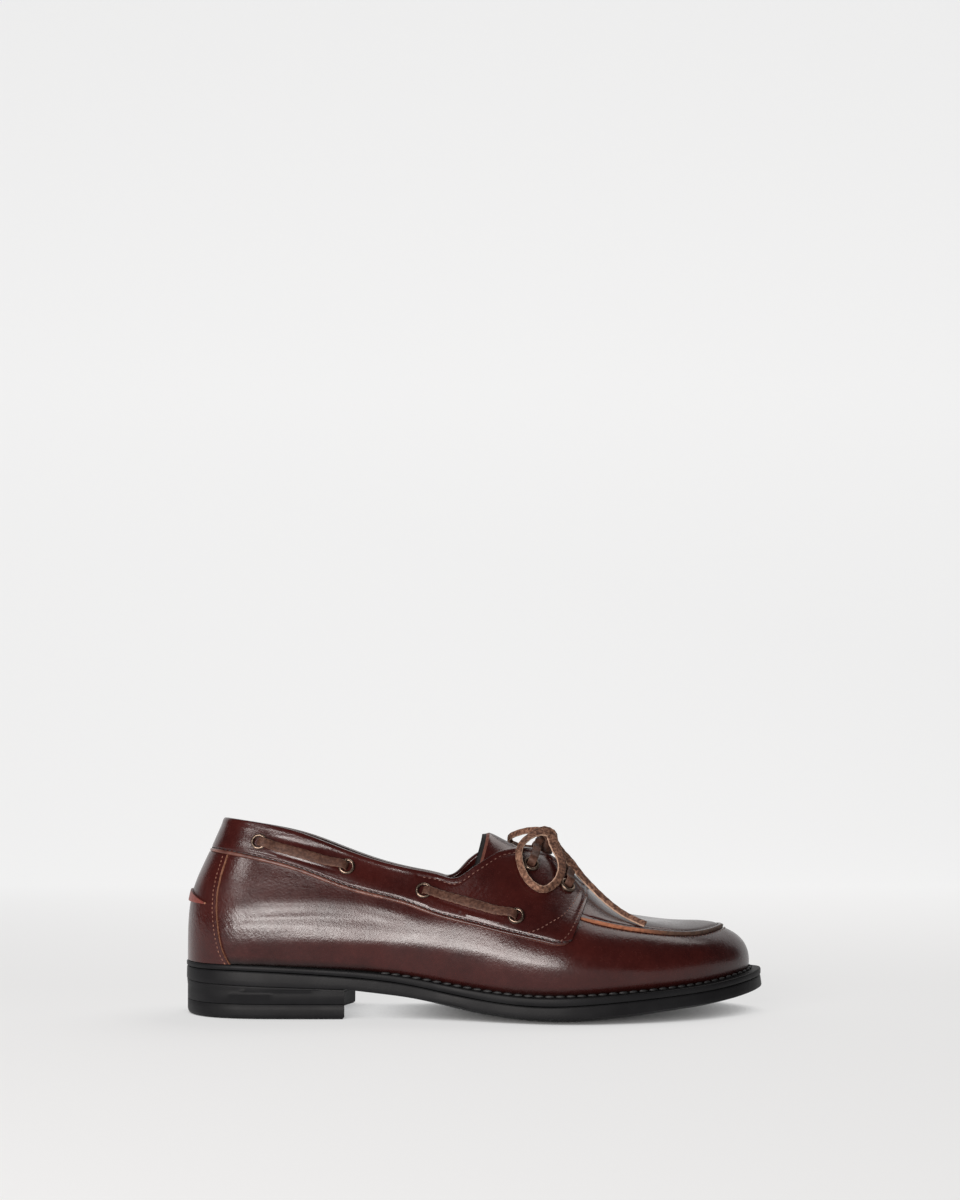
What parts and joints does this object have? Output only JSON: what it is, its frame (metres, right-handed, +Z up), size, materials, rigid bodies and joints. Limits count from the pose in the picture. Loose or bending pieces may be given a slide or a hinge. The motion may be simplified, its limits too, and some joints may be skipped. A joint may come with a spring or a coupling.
{
  "type": "loafer",
  "caption": "Right-foot leather loafer with a moc-toe apron, side lacing through eyelets, a tied bow over the throat and a rubber sole with a block heel.",
  "frame": {"origin": "on the floor under the middle of the shoe's box, laces left out", "axes": "+X to the toe, +Z up, +Y to the medial (inner) side"},
  "size_m": [0.2994, 0.1036, 0.0994],
  "materials": {
    "oxblood_leather": "polished",
    "black_rubber": "satin",
    "black_lining": "matt",
    "antique_brass": "aged",
    "rawhide": "waxed"
  },
  "bodies": {
    "root": {"upper": "oxblood_leather", "collar_band": "oxblood_leather", "back_strap": "oxblood_leather", "heel_tab": "oxblood_leather", "tongue": "oxblood_leather", "outsole": "black_rubber", "heel_block": "black_rubber", "heel_top_piece": "black_rubber", "welt": "black_rubber", "insole": "black_lining", "eyelet_lateral_1": "antique_brass", "eyelet_lateral_2": "antique_brass", "eyelet_lateral_3": "antique_brass", "eyelet_lateral_4": "antique_brass", "eyelet_medial_1": "antique_brass", "eyelet_medial_2": "antique_brass", "eyelet_medial_3": "antique_brass", "eyelet_medial_4": "antique_brass", "eyelet_throat_lateral_1": "antique_brass", "eyelet_throat_lateral_2": "antique_brass", "eyelet_throat_medial_1": "antique_brass", "eyelet_throat_medial_2": "antique_brass", "thong_lateral_rear": "rawhide", "thong_lateral_front": "rawhide", "thong_medial_rear": "rawhide", "thong_medial_front": "rawhide", "lace_bar": "rawhide", "lace_crossing": "rawhide", "lace_knot": "rawhide", "lace_loop_lateral": "rawhide", "lace_loop_medial": "rawhide", "lace_end_lateral": "rawhide", "lace_end_medial": "rawhide"}
  },
  "joints": []
}
